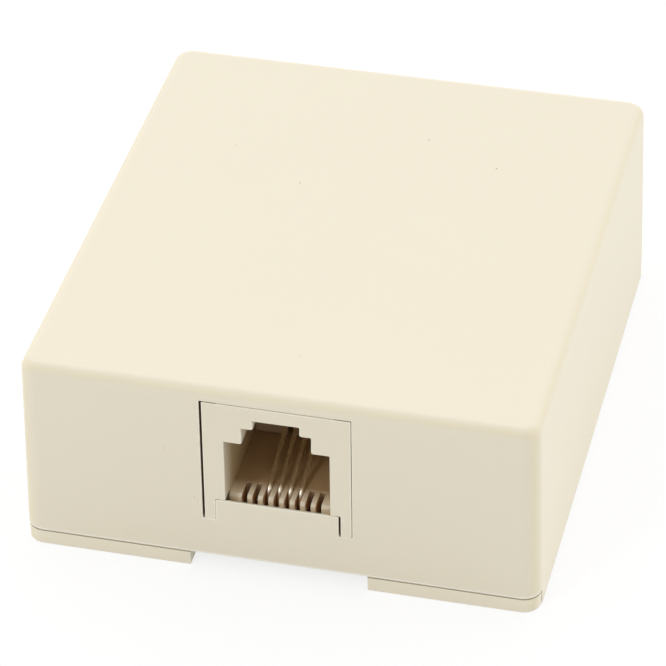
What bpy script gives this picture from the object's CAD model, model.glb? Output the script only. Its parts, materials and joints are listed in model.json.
import json
import math
import bmesh
import bpy
from mathutils import Matrix, Vector


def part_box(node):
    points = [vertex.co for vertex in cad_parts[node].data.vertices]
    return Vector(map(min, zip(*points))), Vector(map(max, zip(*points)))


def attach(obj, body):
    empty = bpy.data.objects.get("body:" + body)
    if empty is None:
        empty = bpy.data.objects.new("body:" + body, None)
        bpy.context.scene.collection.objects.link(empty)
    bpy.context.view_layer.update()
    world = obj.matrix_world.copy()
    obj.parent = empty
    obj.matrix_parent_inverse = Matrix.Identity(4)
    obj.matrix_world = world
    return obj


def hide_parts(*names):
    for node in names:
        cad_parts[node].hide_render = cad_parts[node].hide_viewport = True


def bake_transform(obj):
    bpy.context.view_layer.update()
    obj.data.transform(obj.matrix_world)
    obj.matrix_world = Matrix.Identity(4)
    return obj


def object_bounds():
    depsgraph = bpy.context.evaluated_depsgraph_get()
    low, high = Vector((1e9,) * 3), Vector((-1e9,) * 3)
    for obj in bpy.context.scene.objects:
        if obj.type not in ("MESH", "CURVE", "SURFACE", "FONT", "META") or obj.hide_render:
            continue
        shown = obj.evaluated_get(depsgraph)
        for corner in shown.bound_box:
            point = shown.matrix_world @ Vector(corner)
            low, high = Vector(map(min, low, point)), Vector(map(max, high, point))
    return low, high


# Low telephone box: an ivory cover with a modular jack, over a base with four screw terminals.
# The jack faces -Y, +X is right and +Z up. Blender works in metres, the dictionaries give mm.

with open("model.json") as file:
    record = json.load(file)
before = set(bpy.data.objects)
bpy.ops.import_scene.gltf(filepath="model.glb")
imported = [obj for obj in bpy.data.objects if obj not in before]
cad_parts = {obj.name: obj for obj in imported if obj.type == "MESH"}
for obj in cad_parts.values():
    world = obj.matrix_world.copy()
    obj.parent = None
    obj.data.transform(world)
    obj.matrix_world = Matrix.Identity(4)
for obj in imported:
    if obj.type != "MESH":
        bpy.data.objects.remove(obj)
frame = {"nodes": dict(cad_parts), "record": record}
cadLow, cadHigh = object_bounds()
scene = bpy.context.scene
scene.view_settings.view_transform = "Standard"
mm = 0.001
leadColours = ("black", "red", "green", "yellow")
print("frame loaded")


cameraView = {
    "azimuth": 14.33,        # degrees round the box from its front
    "elevation": 36.67,
    "roll": -1.123,
    "place": (72.208, -288.647, 229.576),
    "lens": 202.57,
    "sensor": 36.0,
    "clipNear": 10.0,
    "clipFar": 20000.0,
}


def makeCamera(values):
    camera = bpy.data.cameras.new("boxCamera")
    camera.lens = values["lens"]
    camera.sensor_width = values["sensor"]
    camera.clip_start = values["clipNear"] * mm
    camera.clip_end = values["clipFar"] * mm
    around = math.radians(values["azimuth"])
    above = math.radians(values["elevation"])
    roll = math.radians(values["roll"])
    flat = math.cos(above)
    back = Vector((math.sin(around) * flat, -math.cos(around) * flat, math.sin(above)))
    right = Vector((math.cos(around), math.sin(around), 0))
    up = back.cross(right)
    across = right * math.cos(roll) + up * math.sin(roll)
    upward = up * math.cos(roll) - right * math.sin(roll)
    turn = Matrix((across, upward, back)).transposed().to_4x4()
    holder = bpy.data.objects.new("boxCamera", camera)
    holder.matrix_world = Matrix.Translation(Vector(values["place"]) * mm) @ turn
    scene.collection.objects.link(holder)
    scene.camera = holder


makeCamera(cameraView)
print("camera ready")


def addNode(tree, kind, **settings):
    node = tree.nodes.new(kind)
    for name, value in settings.items():
        setattr(node, name, value)
    return node


def feed(tree, value, socket):
    if isinstance(value, bpy.types.NodeSocket):
        tree.links.new(value, socket)
    elif isinstance(value, tuple) and len(socket.default_value) == 4:
        socket.default_value = (*value, 1)
    else:
        socket.default_value = value


def compute(tree, operation, first, second=0.0):
    node = addNode(tree, "ShaderNodeMath", operation=operation)
    feed(tree, first, node.inputs[0])
    feed(tree, second, node.inputs[1])
    return node.outputs[0]


def mixShaders(tree, factor, first, second):
    node = addNode(tree, "ShaderNodeMixShader")
    feed(tree, factor, node.inputs[0])
    tree.links.new(first, node.inputs[1])
    tree.links.new(second, node.inputs[2])
    return node.outputs[0]


studio = {
    "floorSize": 4000.0,
    "floorDrop": 0.02,       # below the feet of the base
    "floorLit": 0.90,        # what the floor throws back on the box
    "floorSeen": 0.22,       # what the camera sees of its light and shadow
    "floorGlow": 0.80,       # and the pale level that is added to it
    "tentWalls": 1.53,       # a tent of pale cloth, level with the box
    "tentRoof": -0.60,       # what its roof adds to that
    "tentMouth": -1.05,      # and what its open front adds
    "lampPlace": (-330.0, -560.0, 640.0),
    "lampWide": 140.0,
    "lampTall": 270.0,
    "lampPower": 1.2,        # in watts
}


def makeFloor(values):
    mesh = bpy.data.meshes.new("studioFloor")
    half = values["floorSize"] / 2 * mm
    level = cadLow.z - values["floorDrop"] * mm
    corners = [(-half, -half, level), (half, -half, level), (half, half, level), (-half, half, level)]
    mesh.from_pydata(corners, [], [(0, 1, 2, 3)])
    floor = bpy.data.objects.new("studioFloor", mesh)
    scene.collection.objects.link(floor)
    material = bpy.data.materials.new("studioFloor")
    material.use_nodes = True
    tree = material.node_tree
    tree.nodes.clear()
    rays = addNode(tree, "ShaderNodeLightPath").outputs
    seen = compute(tree, "MAXIMUM", rays["Is Camera Ray"], rays["Is Glossy Ray"])
    seen = compute(tree, "MAXIMUM", seen, rays["Is Transmission Ray"])
    plain = addNode(tree, "ShaderNodeBsdfDiffuse")
    plain.inputs["Color"].default_value = (*(values["floorLit"],) * 3, 1)
    dim = addNode(tree, "ShaderNodeBsdfDiffuse")
    dim.inputs["Color"].default_value = (*(values["floorSeen"],) * 3, 1)
    glow = addNode(tree, "ShaderNodeEmission")
    glow.inputs["Strength"].default_value = values["floorGlow"]
    both = addNode(tree, "ShaderNodeAddShader")
    tree.links.new(dim.outputs[0], both.inputs[0])
    tree.links.new(glow.outputs[0], both.inputs[1])
    output = addNode(tree, "ShaderNodeOutputMaterial")
    choice = mixShaders(tree, seen, plain.outputs[0], both.outputs[0])
    tree.links.new(choice, output.inputs["Surface"])
    mesh.materials.append(material)


def makeSky(values):
    sky = bpy.data.worlds.new("studioSky")
    scene.world = sky
    sky.use_nodes = True
    tree = sky.node_tree
    tree.nodes.clear()
    rays = addNode(tree, "ShaderNodeLightPath").outputs
    seen = compute(tree, "MAXIMUM", rays["Is Camera Ray"], rays["Is Transmission Ray"])
    way = addNode(tree, "ShaderNodeSeparateXYZ")
    tree.links.new(addNode(tree, "ShaderNodeTexCoord").outputs["Generated"], way.inputs[0])
    roof = compute(tree, "MULTIPLY", way.outputs["Z"], values["tentRoof"])
    ahead = compute(tree, "MAXIMUM", compute(tree, "MULTIPLY", way.outputs["Y"], -1.0), 0.0)
    mouth = compute(tree, "MULTIPLY", ahead, values["tentMouth"])
    level = compute(tree, "ADD", compute(tree, "ADD", roof, mouth), values["tentWalls"])
    light = addNode(tree, "ShaderNodeBackground")
    light.inputs["Color"].default_value = (1, 1, 1, 1)
    tree.links.new(level, light.inputs["Strength"])
    white = addNode(tree, "ShaderNodeBackground")
    white.inputs["Color"].default_value = (1, 1, 1, 1)
    output = addNode(tree, "ShaderNodeOutputWorld")
    choice = mixShaders(tree, seen, light.outputs[0], white.outputs[0])
    tree.links.new(choice, output.inputs["Surface"])


def makeLamp(values):        # small and weak, for the glints on metal and rounded edges
    lamp = bpy.data.lights.new("studioLamp", "AREA")
    lamp.shape = "RECTANGLE"
    lamp.size = values["lampWide"] * mm
    lamp.size_y = values["lampTall"] * mm
    lamp.energy = values["lampPower"]
    holder = bpy.data.objects.new("studioLamp", lamp)
    place = Vector(values["lampPlace"]) * mm
    holder.location = place
    holder.rotation_mode = "QUATERNION"
    holder.rotation_quaternion = place.to_track_quat("Z", "Y")
    scene.collection.objects.link(holder)


makeFloor(studio)
makeSky(studio)
makeLamp(studio)
print("studio ready")


def newGroup(name, inputs, outputs):
    group = bpy.data.node_groups.new(name, "ShaderNodeTree")
    for label, value in inputs:
        socket = group.interface.new_socket(label, in_out="INPUT", socket_type="NodeSocketFloat")
        socket.default_value = value
    for label in outputs:
        group.interface.new_socket(label, in_out="OUTPUT", socket_type="NodeSocketFloat")
    return group, group.nodes.new("NodeGroupInput").outputs, group.nodes.new("NodeGroupOutput").inputs


def objectPlace(tree):
    return addNode(tree, "ShaderNodeTexCoord").outputs["Object"]


def noise(tree, vector, scale, detail, roughness=0.5):
    node = addNode(tree, "ShaderNodeTexNoise")
    feed(tree, vector, node.inputs["Vector"])
    feed(tree, scale, node.inputs["Scale"])
    feed(tree, detail, node.inputs["Detail"])
    feed(tree, roughness, node.inputs["Roughness"])
    return node.outputs["Fac"]


def spread(tree, value, low, high, fromLow=0.0, fromHigh=1.0):
    node = addNode(tree, "ShaderNodeMapRange")
    feed(tree, value, node.inputs["Value"])
    feed(tree, fromLow, node.inputs["From Min"])
    feed(tree, fromHigh, node.inputs["From Max"])
    feed(tree, low, node.inputs["To Min"])
    feed(tree, high, node.inputs["To Max"])
    return node.outputs["Result"]


def mixColour(tree, factor, first, second):
    node = addNode(tree, "ShaderNodeMix", data_type="RGBA")
    feed(tree, factor, node.inputs[0])       # its colour sockets are 6, 7 and, going out, 2
    feed(tree, first, node.inputs[6])
    feed(tree, second, node.inputs[7])
    return node.outputs[2]


def buildMouldGrain():       # fine spark-eroded texture and the slow tone of a moulding
    group, given, out = newGroup(
        "mouldGrain", (("Grain Scale", 4200.0), ("Wave Scale", 150.0), ("Patch Scale", 55.0)),
        ("Height", "Patches"))
    place = objectPlace(group)
    waveHeight = 2.5         # over the height of the grain
    grain = noise(group, place, given["Grain Scale"], detail=2.0, roughness=0.6)
    wave = noise(group, place, given["Wave Scale"], detail=1.0)
    height = compute(group, "ADD", grain, compute(group, "MULTIPLY", wave, waveHeight))
    group.links.new(height, out["Height"])
    patches = noise(group, place, given["Patch Scale"], detail=3.0, roughness=0.55)
    group.links.new(patches, out["Patches"])
    return group


def buildDustSpecks():       # sparse dark specks of uneven size
    group, given, out = newGroup(
        "dustSpecks", (("Cells", 260.0), ("Share", 0.03), ("Speck Size", 0.08)), ("Mask",))
    place = objectPlace(group)
    cells = addNode(group, "ShaderNodeTexVoronoi", feature="F1")
    feed(group, place, cells.inputs["Vector"])
    feed(group, given["Cells"], cells.inputs["Scale"])
    dice = addNode(group, "ShaderNodeSeparateColor")
    feed(group, cells.outputs["Color"], dice.inputs["Color"])
    few = compute(group, "LESS_THAN", dice.outputs["Red"], given["Share"])
    leastShare = 0.4         # the smallest speck over the largest
    least = compute(group, "MULTIPLY", given["Speck Size"], leastShare)
    size = spread(group, dice.outputs["Green"], low=least, high=given["Speck Size"])
    near = compute(group, "LESS_THAN", cells.outputs["Distance"], size)
    group.links.new(compute(group, "MULTIPLY", few, near), out["Mask"])
    return group


def buildEdgeRub():          # rounded edges, which softenedCopy marks, broken up by noise
    group, given, out = newGroup(
        "edgeRub", (("Breakup Scale", 700.0), ("Amount", 0.8)), ("Mask",))
    marked = addNode(group, "ShaderNodeAttribute", attribute_name="edgeFace").outputs["Fac"]
    broken = noise(group, objectPlace(group), given["Breakup Scale"], detail=2.0)
    broken = spread(group, broken, low=0.70, high=1.0, fromLow=0.35, fromHigh=0.6)
    mask = compute(group, "MULTIPLY", marked, broken)
    group.links.new(compute(group, "MULTIPLY", mask, given["Amount"]), out["Mask"])
    return group


def buildDrawnGrain():       # fine marks and dull spots of drawn or plated metal
    group, given, out = newGroup(
        "drawnGrain", (("Mark Scale", 2600.0), ("Stain Scale", 500.0)), ("Marks", "Stains"))
    place = objectPlace(group)
    stretch = addNode(group, "ShaderNodeMapping")
    feed(group, place, stretch.inputs["Vector"])
    drawnOut = (1.0, 0.12, 0.5)              # the marks are longest along Y
    stretch.inputs["Scale"].default_value = drawnOut
    marks = noise(group, stretch.outputs[0], given["Mark Scale"], detail=3.0, roughness=0.6)
    group.links.new(marks, out["Marks"])
    stains = noise(group, place, given["Stain Scale"], detail=4.0, roughness=0.65)
    group.links.new(stains, out["Stains"])
    return group


def buildRoundWarmth():      # 1 on rounded parts, 0 on flats that face along an axis
    group, given, out = newGroup("roundWarmth", (("Reach", 0.25),), ("Mask",))
    facing = addNode(group, "ShaderNodeSeparateXYZ")
    group.links.new(addNode(group, "ShaderNodeTexCoord").outputs["Normal"], facing.inputs[0])
    across, along, up = (compute(group, "ABSOLUTE", axis) for axis in facing.outputs)
    most = compute(group, "MAXIMUM", compute(group, "MAXIMUM", across, along), up)
    turned = compute(group, "SUBTRACT", 1.0, most)
    mask = spread(group, turned, low=0.0, high=1.0, fromLow=0.02, fromHigh=given["Reach"])
    group.links.new(mask, out["Mask"])
    return group


def buildSideFaces():        # 1 on faces that look left or right
    group, given, out = newGroup("sideFaces", (("Least", 0.6), ("Most", 0.95)), ("Mask",))
    facing = addNode(group, "ShaderNodeSeparateXYZ")
    group.links.new(addNode(group, "ShaderNodeTexCoord").outputs["Normal"], facing.inputs[0])
    across = compute(group, "ABSOLUTE", facing.outputs["X"])
    mask = spread(group, across, low=0.0, high=1.0, fromLow=given["Least"], fromHigh=given["Most"])
    group.links.new(mask, out["Mask"])
    return group


def buildDepthShade():       # grows from 0 to 1 with depth behind the mouth of the socket
    group, given, out = newGroup("depthShade", (("Front", 0.0), ("Back", 0.01)), ("Mask",))
    place = addNode(group, "ShaderNodeSeparateXYZ")
    group.links.new(objectPlace(group), place.inputs[0])
    mask = spread(group, place.outputs["Y"], low=0.0, high=1.0,
                  fromLow=given["Front"], fromHigh=given["Back"])
    group.links.new(mask, out["Mask"])
    return group


def within(tree, value, low, high):
    above = compute(tree, "GREATER_THAN", value, low)
    return compute(tree, "MULTIPLY", above, compute(tree, "LESS_THAN", value, high))


def buildFrontPatch():       # part of the front wall, by place and by depth behind its face
    group, given, out = newGroup("frontPatch", (
        ("Inner", 0.0056), ("Outer", 0.0074), ("Bottom", 0.0), ("Top", 0.02), ("Face", 0.0),
        ("Lean", 0.0), ("Start", 0.0001), ("Full", 0.0002), ("Depth", 0.002)), ("Mask",))
    place = addNode(group, "ShaderNodeSeparateXYZ")
    group.links.new(objectPlace(group), place.inputs[0])
    leaning = compute(group, "MULTIPLY", place.outputs["Z"], given["Lean"])
    face = compute(group, "ADD", given["Face"], leaning)
    depth = compute(group, "SUBTRACT", place.outputs["Y"], face)
    fade = spread(group, depth, low=0.0, high=1.0, fromLow=given["Start"], fromHigh=given["Full"])
    aside = compute(group, "ABSOLUTE", place.outputs["X"])
    beside = within(group, aside, given["Inner"], given["Outer"])
    beside = compute(group, "MULTIPLY", beside,
                     within(group, place.outputs["Z"], given["Bottom"], given["Top"]))
    near = compute(group, "MULTIPLY", beside, compute(group, "LESS_THAN", depth, given["Depth"]))
    group.links.new(compute(group, "MULTIPLY", near, fade), out["Mask"])
    return group


def buildSeamShade():        # rounded edges between two heights
    group, given, out = newGroup("seamShade", (("Low", 0.0), ("High", 0.001)), ("Mask",))
    marked = addNode(group, "ShaderNodeAttribute", attribute_name="edgeFace").outputs["Fac"]
    place = addNode(group, "ShaderNodeSeparateXYZ")
    group.links.new(objectPlace(group), place.inputs[0])
    level = within(group, place.outputs["Z"], given["Low"], given["High"])
    group.links.new(compute(group, "MULTIPLY", marked, level), out["Mask"])
    return group


mouldGrain = buildMouldGrain()
dustSpecks = buildDustSpecks()
edgeRub = buildEdgeRub()
drawnGrain = buildDrawnGrain()
roundWarmth = buildRoundWarmth()
sideFaces = buildSideFaces()
depthShade = buildDepthShade()
frontPatch = buildFrontPatch()
seamShade = buildSeamShade()


def placeGroup(tree, group, values):
    node = addNode(tree, "ShaderNodeGroup", node_tree=group)
    for label, value in values.items():
        node.inputs[label].default_value = value
    return node.outputs


def newMaterial(name):
    material = bpy.data.materials.new(name)
    material.use_nodes = True
    tree = material.node_tree
    tree.nodes.clear()
    shader = addNode(tree, "ShaderNodeBsdfPrincipled")
    output = addNode(tree, "ShaderNodeOutputMaterial")
    tree.links.new(shader.outputs["BSDF"], output.inputs["Surface"])
    return material, tree, shader


def bump(tree, shader, height, strength, distance):
    node = addNode(tree, "ShaderNodeBump")
    node.inputs["Strength"].default_value = strength
    node.inputs["Distance"].default_value = distance * mm
    tree.links.new(height, node.inputs["Height"])
    tree.links.new(node.outputs["Normal"], shader.inputs["Normal"])


def mouldedPlastic(name, values):
    material, tree, shader = newMaterial(name)
    grain = placeGroup(tree, mouldGrain, values["grain"])
    shade = mixColour(tree, grain["Patches"], values["darkTone"], values["lightTone"])
    if "warmTone" in values:
        turned = placeGroup(tree, roundWarmth, {})
        shade = mixColour(tree, turned["Mask"], shade, values["warmTone"])
    if "sideTone" in values:
        aside = placeGroup(tree, sideFaces, {})
        shade = mixColour(tree, aside["Mask"], shade, values["sideTone"])
    rub = placeGroup(tree, edgeRub, values["rub"])
    shade = mixColour(tree, rub["Mask"], shade, values["edgeTone"])
    if "deepTone" in values:
        deep = placeGroup(tree, depthShade, values["depth"])
        shade = mixColour(tree, deep["Mask"], shade, values["deepTone"])
    for place, tone in values.get("patches", ()):
        patch = placeGroup(tree, frontPatch, place)
        shade = mixColour(tree, patch["Mask"], shade, tone)
    if "seam" in values:
        seam = placeGroup(tree, seamShade, values["seam"])
        shade = mixColour(tree, seam["Mask"], shade, values["seamTone"])
    if "dust" in values:
        dust = placeGroup(tree, dustSpecks, values["dust"])
        shade = mixColour(tree, dust["Mask"], shade, values["dustTone"])
    tree.links.new(shade, shader.inputs["Base Color"])
    rough = spread(tree, grain["Patches"], low=values["roughLow"], high=values["roughHigh"],
                   fromLow=0.3, fromHigh=0.7)
    tree.links.new(rough, shader.inputs["Roughness"])
    shader.inputs["Specular IOR Level"].default_value = values["specular"]
    bump(tree, shader, grain["Height"], values["bumpStrength"], values["bumpDepth"])
    return material


def metal(name, values):
    material, tree, shader = newMaterial(name)
    grain = placeGroup(tree, drawnGrain, values["grain"])
    stained = spread(tree, grain["Stains"], low=0.0, high=1.0, fromLow=0.35, fromHigh=0.65)
    shade = mixColour(tree, stained, values["dullTone"], values["brightTone"])
    tree.links.new(shade, shader.inputs["Base Color"])
    shader.inputs["Metallic"].default_value = 1.0
    rough = spread(tree, grain["Marks"], low=values["roughLow"], high=values["roughHigh"],
                   fromLow=0.3, fromHigh=0.7)
    tree.links.new(rough, shader.inputs["Roughness"])
    bump(tree, shader, grain["Marks"], values["bumpStrength"], values["bumpDepth"])
    return material


ivory = {
    "darkTone": (0.874, 0.805, 0.640), "lightTone": (0.892, 0.826, 0.662),
    "edgeTone": (1.000, 0.955, 0.820),
    "roughLow": 0.40, "roughHigh": 0.50, "specular": 0.42,
    "grain": {"Grain Scale": 4200.0, "Wave Scale": 160.0, "Patch Scale": 60.0},
    "rub": {"Breakup Scale": 700.0, "Amount": 1.0},
    "bumpStrength": 0.22, "bumpDepth": 0.02,
}
outside = {
    "warmTone": (0.870, 0.785, 0.590),
    "dust": {"Cells": 280.0, "Share": 0.8, "Speck Size": 0.032},
    "dustTone": (0.42, 0.36, 0.28),
}
frontWall = {"Face": cadLow.y, "Lean": 0.0192}       # it leans back by 1.1 degrees
gapPatch = {                 # down the gaps beside the legs of the jack's face
    **frontWall, "Inner": 5.6 * mm, "Outer": 7.4 * mm,
    "Bottom": cadLow.z + 6.05 * mm, "Top": cadLow.z + 19.55 * mm,
    "Start": 0.03 * mm, "Full": 0.09 * mm, "Depth": 2.0 * mm,
}
lipPatch = {                 # along the lower edge of the front wall
    **frontWall, "Inner": -1.0 * mm, "Outer": 24.9 * mm,
    "Bottom": cadLow.z + 1.60 * mm, "Top": cadLow.z + 1.93 * mm,
    "Start": -0.3 * mm, "Full": -0.2 * mm, "Depth": 1.2 * mm,
}
gapTone = (0.30, 0.20, 0.11)
lipTone = (1.00, 0.96, 0.84)
footSeam = {                 # the edge of the foot, right under the cover
    "seam": {"Low": cadLow.z + 1.50 * mm, "High": cadLow.z + 1.65 * mm},
    "seamTone": (0.42, 0.35, 0.24),
}
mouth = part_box("jack_housing")[0].y
jackTone = {
    **ivory, "patches": [(gapPatch, gapTone)], "deepTone": (0.56, 0.425, 0.235),
    "depth": {"Front": mouth + 0.1 * mm, "Back": mouth + 3.1 * mm},
}
carrierTone = {
    **ivory, "darkTone": (0.97, 0.82, 0.61), "lightTone": (1.00, 0.86, 0.64),
    "edgeTone": (1.00, 0.94, 0.79), "sideTone": (0.60, 0.36, 0.18), "deepTone": (0.49, 0.33, 0.17),
    "depth": {"Front": mouth + 2.0 * mm, "Back": mouth + 3.8 * mm},
}
capTone = {
    **ivory, "darkTone": (0.58, 0.42, 0.27), "lightTone": (0.62, 0.45, 0.29),
    "edgeTone": (0.68, 0.52, 0.35),
}
finishes = {
    "cover_plastic": mouldedPlastic("ivoryCover", {
        **ivory, **outside, "patches": [(gapPatch, gapTone), (lipPatch, lipTone)]}),
    "base_plastic": mouldedPlastic("ivoryBase", {
        **ivory, **outside, **footSeam,
        "darkTone": (0.920, 0.848, 0.674), "lightTone": (0.936, 0.866, 0.694)}),
    "jack_plastic": mouldedPlastic("ivoryJack", jackTone),
    "carrier_plastic": mouldedPlastic("tanCarrier", carrierTone),
}
capPlastic = mouldedPlastic("umberCap", capTone)

insulation = {
    **ivory, "roughLow": 0.30, "roughHigh": 0.38, "specular": 0.5,
    "grain": {"Grain Scale": 2500.0, "Wave Scale": 400.0, "Patch Scale": 300.0},
    "rub": {"Breakup Scale": 700.0, "Amount": 0.0},
    "bumpStrength": 0.3, "bumpDepth": 0.02,
}
leadTones = {
    "black": ((0.018, 0.018, 0.018), (0.028, 0.027, 0.026)),
    "red": ((0.46, 0.020, 0.016), (0.54, 0.030, 0.022)),
    "green": ((0.018, 0.22, 0.060), (0.026, 0.28, 0.080)),
    "yellow": ((0.70, 0.46, 0.022), (0.78, 0.54, 0.035)),
}
for colour, (darkTone, lightTone) in leadTones.items():
    finishes["lead_" + colour] = mouldedPlastic(
        colour + "Insulation", {**insulation, "darkTone": darkTone, "lightTone": lightTone})

plated = {
    "dullTone": (0.60, 0.59, 0.57), "brightTone": (0.74, 0.74, 0.73),
    "roughLow": 0.26, "roughHigh": 0.40,
    "grain": {"Mark Scale": 2600.0, "Stain Scale": 500.0},
    "bumpStrength": 0.15, "bumpDepth": 0.01,
}
finishes["contact_gold"] = metal("goldWire", {
    **plated, "dullTone": (0.92, 0.82, 0.66), "brightTone": (1.00, 0.93, 0.80),
    "roughLow": 0.26, "roughHigh": 0.33, "bumpStrength": 0.04})
finishes["insert_brass"] = metal("brassInsert", {
    **plated, "dullTone": (0.60, 0.44, 0.20), "brightTone": (0.76, 0.58, 0.30)})
finishes["lug_tin"] = metal("tinnedLug", {
    **plated, "dullTone": (0.66, 0.65, 0.62), "brightTone": (0.78, 0.77, 0.74)})
finishes["washer_steel"] = metal("platedWasher", plated)
finishes["screw_steel"] = metal("platedScrew", {**plated, "roughLow": 0.20, "roughHigh": 0.34})
print("finishes ready")


def slotOf(node):
    return next(part["material_slot"] for part in frame["record"]["subparts"] if part["node"] == node)


def bodyOf(node):
    bodies = frame["record"]["behaviour"]["bodies"]
    return next(body for body, members in bodies.items() if node in members)


def newPiece(name, data, material):
    data.materials.clear()
    data.materials.append(material)
    piece = bpy.data.objects.new(name, data)
    scene.collection.objects.link(piece)
    return piece


def settle(piece, name):     # what the modifiers give becomes a plain mesh, its rounded edges marked
    bpy.context.view_layer.update()
    evaluated = piece.evaluated_get(bpy.context.evaluated_depsgraph_get())
    mesh = bpy.data.meshes.new_from_object(evaluated)
    mesh.name = name
    if "edgeFace" not in mesh.attributes:
        rounded = [float(face.material_index) for face in mesh.polygons]
        marks = mesh.attributes.new("edgeFace", "FLOAT", "FACE")
        marks.data.foreach_set("value", rounded)
    material = mesh.materials[0]
    bpy.data.objects.remove(piece)
    return newPiece(name, mesh, material)


softening = {
    "weld": 0.0005,          # corners nearer than this are one
    "flat": 0.5,             # triangles that turn less than this, in degrees, are one face
    "flatWeight": 100,       # how far large flats win over the rounded edges in the shading
}


def softenedCopy(node, values, material, reshape=None):
    work = bmesh.new()
    work.from_mesh(frame["nodes"][node].data)
    bmesh.ops.remove_doubles(work, verts=work.verts, dist=softening["weld"] * mm)
    bmesh.ops.join_triangles(work, faces=work.faces, angle_shape_threshold=math.pi,
                             angle_face_threshold=math.radians(softening["flat"]))
    if reshape:
        reshape(work)
    mesh = bpy.data.meshes.new(node)
    work.to_mesh(mesh)
    work.free()
    mesh.shade_smooth()
    piece = newPiece(node + "Plain", mesh, material)
    mesh.materials.append(material)          # a second time, for the rounded edges
    bevel = piece.modifiers.new("edges", "BEVEL")
    bevel.width = values["edge"] * mm
    bevel.segments = values["steps"]
    bevel.limit_method = "ANGLE"
    bevel.angle_limit = math.radians(values["sharpest"])
    bevel.use_clamp_overlap = False
    bevel.material = 1       # by this number settle knows the rounded faces
    weigh = piece.modifiers.new("flats", "WEIGHTED_NORMAL")
    weigh.mode = "FACE_AREA"
    weigh.weight = softening["flatWeight"]
    return settle(piece, node + "Finished")


def takePlace(node):  # the piece has the place, the motion and the slot of a solid
    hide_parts(node)


def newTree(name, inputs):
    tree = bpy.data.node_groups.new(name, "GeometryNodeTree")
    tree.interface.new_socket("Geometry", in_out="INPUT", socket_type="NodeSocketGeometry")
    for label, kind in inputs:
        tree.interface.new_socket(label, in_out="INPUT", socket_type="NodeSocket" + kind)
    tree.interface.new_socket("Geometry", in_out="OUTPUT", socket_type="NodeSocketGeometry")
    return tree, tree.nodes.new("NodeGroupInput").outputs, tree.nodes.new("NodeGroupOutput").inputs


def runTree(piece, tree, values):
    modifier = piece.modifiers.new(tree.name, "NODES")
    modifier.node_group = tree
    for item in tree.interface.items_tree:
        if item.in_out == "INPUT" and item.name in values:
            modifier[item.identifier] = values[item.name]


def endTree(tree, geometry, material, out):
    plain = addNode(tree, "GeometryNodeRealizeInstances")
    dressed = addNode(tree, "GeometryNodeSetMaterial")
    tree.links.new(geometry, plain.inputs["Geometry"])
    tree.links.new(plain.outputs[0], dressed.inputs["Geometry"])
    tree.links.new(material, dressed.inputs["Material"])
    tree.links.new(dressed.outputs[0], out["Geometry"])


mouldings = {
    "cover": {"edge": 0.09, "steps": 2, "sharpest": 25},
    "base": {"edge": 0.08, "steps": 2, "sharpest": 25},
    "jack_housing": {"edge": 0.12, "steps": 2, "sharpest": 25},
    "contact_carrier": {"edge": 0.07, "steps": 2, "sharpest": 25},
    "jack_rear_cap": {"edge": 0.05, "steps": 2, "sharpest": 25},
}
socketSteps = {
    "corner": 0.14, "cornerSteps": 3,
    "above": 5.0,            # over the carrier, where the latch notch is
    "aside": 0.1,            # past the carrier's sides
    "shortest": 5.0,         # the edges that are rounded run at least this far along Y
    "straight": 0.99,        # and over this share of their length
}
carrierSides = {
    "widen": 0.085,          # on each side, so that it runs a hair into the housing's wall
    "near": 0.01,            # corners this near to a side move with it
}


def roundSocketSteps(work):  # the long edges of the latch notch
    values = socketSteps
    low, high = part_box("jack_housing")
    middle = (low.x + high.x) / 2
    carrierLow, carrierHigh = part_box("contact_carrier")
    halfSocket = (carrierHigh.x - carrierLow.x) / 2 + values["aside"] * mm
    lowest = carrierHigh.z + values["above"] * mm
    chosen = []
    for edge in work.edges:
        first, second = (vertex.co for vertex in edge.verts)
        along = abs(first.y - second.y)
        inside = abs(first.x - middle) < halfSocket and first.z > lowest
        straight = along > values["straight"] * (first - second).length
        if inside and straight and along > values["shortest"] * mm:
            chosen.append(edge)
    bmesh.ops.bevel(work, geom=chosen, offset=values["corner"] * mm,
                    segments=values["cornerSteps"], profile=0.5, affect="EDGES")
    print("socket steps rounded:", len(chosen))


def widenCarrier(work):
    low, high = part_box("contact_carrier")
    middle = (low.x + high.x) / 2
    nearSide = (high.x - low.x) / 2 - carrierSides["near"] * mm
    for vertex in work.verts:
        away = vertex.co.x - middle
        if abs(away) > nearSide:
            vertex.co.x += math.copysign(carrierSides["widen"] * mm, away)


reshapes = {"jack_housing": roundSocketSteps, "contact_carrier": widenCarrier}
for node, values in mouldings.items():
    material = capPlastic if node == "jack_rear_cap" else finishes[slotOf(node)]
    piece = softenedCopy(node, values, material, reshapes.get(node))
    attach(piece, bodyOf(node))
    takePlace(node)
print("mouldings ready")


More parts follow.
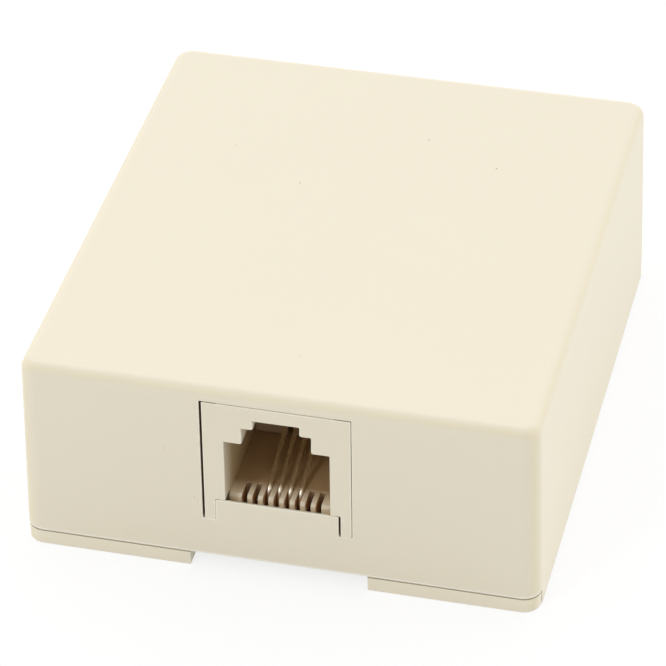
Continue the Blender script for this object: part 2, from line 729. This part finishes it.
def buildBentWire():         # a round wire along a line, with its corners turned to bends
    tree, given, out = newTree("bentWire", (
        ("Radius", "Float"), ("Bend", "Float"), ("Bend Steps", "Int"), ("Sides", "Int"),
        ("Bare Start", "Float"), ("Bare End", "Float"), ("Material", "Material")))
    bend = addNode(tree, "GeometryNodeFilletCurve", mode="POLY")
    tree.links.new(given["Geometry"], bend.inputs["Curve"])
    tree.links.new(given["Bend Steps"], bend.inputs["Count"])
    tree.links.new(given["Bend"], bend.inputs["Radius"])
    length = addNode(tree, "GeometryNodeCurveLength")
    tree.links.new(bend.outputs[0], length.inputs[0])
    stop = addNode(tree, "ShaderNodeMath", operation="SUBTRACT")
    tree.links.new(length.outputs[0], stop.inputs[0])
    tree.links.new(given["Bare End"], stop.inputs[1])
    trim = addNode(tree, "GeometryNodeTrimCurve", mode="LENGTH")
    tree.links.new(bend.outputs[0], trim.inputs["Curve"])
    ends = [socket for socket in trim.inputs if socket.name in ("Start", "End")]
    byLength = ends[2:]      # the first two are shares of the whole
    tree.links.new(given["Bare Start"], byLength[0])
    tree.links.new(stop.outputs[0], byLength[1])
    section = addNode(tree, "GeometryNodeCurvePrimitiveCircle")
    tree.links.new(given["Sides"], section.inputs["Resolution"])
    tree.links.new(given["Radius"], section.inputs["Radius"])
    sweep = addNode(tree, "GeometryNodeCurveToMesh")
    tree.links.new(trim.outputs[0], sweep.inputs["Curve"])
    tree.links.new(section.outputs[0], sweep.inputs["Profile Curve"])
    sweep.inputs["Fill Caps"].default_value = True
    endTree(tree, sweep.outputs[0], given["Material"], out)
    return tree


bentWire = buildBentWire()


def wireAlong(name, points, values, material):
    line = bpy.data.curves.new(name + "Line", "CURVE")
    line.dimensions = "3D"
    run = line.splines.new("POLY")
    run.points.add(len(points) - 1)
    for spot, point in zip(run.points, points):
        spot.co = (*point, 1)
    piece = newPiece(name + "Line", line, material)
    runTree(piece, bentWire, {
        "Radius": values["radius"] * mm, "Bend": values["bend"] * mm,
        "Bend Steps": values["bendSteps"], "Sides": values["sides"],
        "Bare Start": values.get("bareStart", 0.0) * mm,
        "Bare End": values.get("bareEnd", 0.0) * mm, "Material": material})
    piece = settle(piece, name)
    work = bmesh.new()
    work.from_mesh(piece.data)
    bmesh.ops.recalc_face_normals(work, faces=work.faces)
    work.to_mesh(piece.data)
    work.free()
    piece.data.shade_smooth()
    for face in piece.data.polygons:
        face.use_smooth = len(face.vertices) == 4        # all but the flat ends
    return piece


contactWire = {
    "radius": 0.225, "bend": 1.3, "bendSteps": 12, "sides": 20,
    "room": 0.2125,          # from the flats of its eight-sided solid to its middle
    "springRun": 9.3, "springSlope": 18.4,
}


def contactPoints(node, values):
    low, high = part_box(node)
    room = values["room"] * mm
    middle = (low.x + high.x) / 2
    riser = low.y + room
    tail = low.z + room
    run = values["springRun"] * mm
    slope = math.radians(values["springSlope"])
    tip = high.z - room * math.cos(slope)
    knee = tip - run * math.tan(slope)
    return (
        Vector((middle, high.y, tail)), Vector((middle, riser, tail)),
        Vector((middle, riser, knee)), Vector((middle, riser + run, tip)),
    )


for colour in leadColours:
    node = "contact_" + colour
    points = contactPoints(node, contactWire)
    piece = wireAlong(node + "Finished", points, contactWire, finishes["contact_gold"])
    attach(piece, "cover")
    takePlace(node)
print("contact wires ready")

leadWire = {
    "radius": 0.475, "bendSteps": 14, "sides": 20, "bareStart": 0.5, "bareEnd": 1.6,
    "insideBarrel": 2.6, "barrelEnd": 8.4,
    "frontHeading": 20.0,    # of a front lug's barrel, turned towards the jack, in degrees
    "backHeading": 45.0,
    "backRow": 5.0,          # screws behind this line are in the back row
    "bendShare": 0.45,       # of the shorter straight, which the bend takes
}
leadCore = {"radius": 0.26, "bendSteps": 14, "sides": 12}


def leadPoints(colour, values):
    contactLow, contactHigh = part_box("contact_" + colour)
    screwLow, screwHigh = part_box("screw_" + colour)
    leadLow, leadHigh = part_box("lead_" + colour)
    level = (leadLow.z + leadHigh.z) / 2
    screw = (screwLow + screwHigh) / 2
    screw.z = level
    start = Vector(((contactLow.x + contactHigh.x) / 2, contactHigh.y, level))
    toJack = -1 if screw.x > 0 else 1
    row = "backHeading" if screw.y > values["backRow"] * mm else "frontHeading"
    heading = math.radians(values[row])
    towards = Vector((toJack * math.cos(heading), -math.sin(heading), 0))
    corner = screw + towards * ((start.x - screw.x) / towards.x)
    end = screw + towards * (values["barrelEnd"] - values["insideBarrel"]) * mm
    halfTurn = (corner - start).angle(end - corner) / 2
    shorter = min((corner - start).length, (end - corner).length)
    bend = values["bendShare"] * shorter / math.tan(halfTurn) / mm
    return (start, corner, end), bend


for colour in leadColours:
    points, bend = leadPoints(colour, leadWire)
    coat = wireAlong("lead_" + colour + "Coat", points, {**leadWire, "bend": bend},
                     finishes["lead_" + colour])
    core = wireAlong("lead_" + colour + "Core", points, {**leadCore, "bend": bend},
                     finishes["contact_gold"])
    for piece in (coat, core):               # it gives between these shares of the way to the lug
        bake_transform(piece)
    takePlace("lead_" + colour)
print("leads ready")

terminal = {
    "screw": {"edge": 0.05, "steps": 2, "sharpest": 30},
    "washer": {"edge": 0.08, "steps": 3, "sharpest": 30},
    "lug": {"edge": 0.04, "steps": 2, "sharpest": 30},
    "shankLength": 3.7, "shankSolid": 1.5, "shankRoot": 1.24,
    "aroundShank": 0.02, "overShank": 0.01,  # room for finding the corners of the shank
    "pitch": 0.5, "threadRidge": 0.17, "threadInset": 0.35, "threadSteps": 28, "threadSides": 6,
}


def buildScrewThread():      # a ridge wound on the shank of a screw
    tree, given, out = newTree("screwThread", (
        ("Root", "Float"), ("Ridge", "Float"), ("Turns", "Float"), ("Rise", "Float"),
        ("Steps", "Int"), ("Sides", "Int"), ("Place", "Vector"), ("Material", "Material")))
    helix = addNode(tree, "GeometryNodeCurveSpiral")
    tree.links.new(given["Steps"], helix.inputs["Resolution"])
    tree.links.new(given["Turns"], helix.inputs["Rotations"])
    tree.links.new(given["Root"], helix.inputs["Start Radius"])
    tree.links.new(given["Root"], helix.inputs["End Radius"])
    tree.links.new(given["Rise"], helix.inputs["Height"])
    section = addNode(tree, "GeometryNodeCurvePrimitiveCircle")
    tree.links.new(given["Sides"], section.inputs["Resolution"])
    tree.links.new(given["Ridge"], section.inputs["Radius"])
    sweep = addNode(tree, "GeometryNodeCurveToMesh")
    tree.links.new(helix.outputs[0], sweep.inputs["Curve"])
    tree.links.new(section.outputs[0], sweep.inputs["Profile Curve"])
    sweep.inputs["Fill Caps"].default_value = True
    move = addNode(tree, "GeometryNodeTransform")
    tree.links.new(sweep.outputs[0], move.inputs["Geometry"])
    tree.links.new(given["Place"], move.inputs["Translation"])
    join = addNode(tree, "GeometryNodeJoinGeometry")
    tree.links.new(move.outputs[0], join.inputs[0])
    tree.links.new(given["Geometry"], join.inputs[0])
    endTree(tree, join.outputs[0], given["Material"], out)
    return tree


screwThread = buildScrewThread()


def finishScrew(colour, values):
    node = "screw_" + colour
    low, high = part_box(node)
    axis = (low + high) / 2
    shankTop = low.z + (values["shankLength"] + values["overShank"]) * mm
    shrink = values["shankRoot"] / values["shankSolid"]

    def thinShank(work):     # down to the root of the thread
        for vertex in work.verts:
            away = Vector((vertex.co.x - axis.x, vertex.co.y - axis.y))
            onShank = away.length < (values["shankSolid"] + values["aroundShank"]) * mm
            if onShank and vertex.co.z < shankTop:
                vertex.co.x = axis.x + away.x * shrink
                vertex.co.y = axis.y + away.y * shrink

    material = finishes["screw_steel"]
    piece = softenedCopy(node, values["screw"], material, thinShank)
    inset = values["threadInset"]
    rise = values["shankLength"] - 2 * inset
    runTree(piece, screwThread, {
        "Root": values["shankRoot"] * mm, "Ridge": values["threadRidge"] * mm,
        "Turns": rise / values["pitch"], "Rise": rise * mm,
        "Steps": values["threadSteps"], "Sides": values["threadSides"],
        "Place": (axis.x, axis.y, low.z + inset * mm), "Material": material})
    piece = settle(piece, node + "Threaded")
    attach(piece, bodyOf(node))
    takePlace(node)


for colour in leadColours:
    finishScrew(colour, terminal)
    for kind in ("washer", "lug"):
        node = kind + "_" + colour
        piece = softenedCopy(node, terminal[kind], finishes[slotOf(node)])
        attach(piece, bodyOf(node))
        takePlace(node)
print("terminals ready")

# the inserts stay as their solids are, and every solid has its finish
for node, solid in frame["nodes"].items():
    solid.data.materials.clear()
    solid.data.materials.append(finishes[slotOf(node)])

print("sizes written")
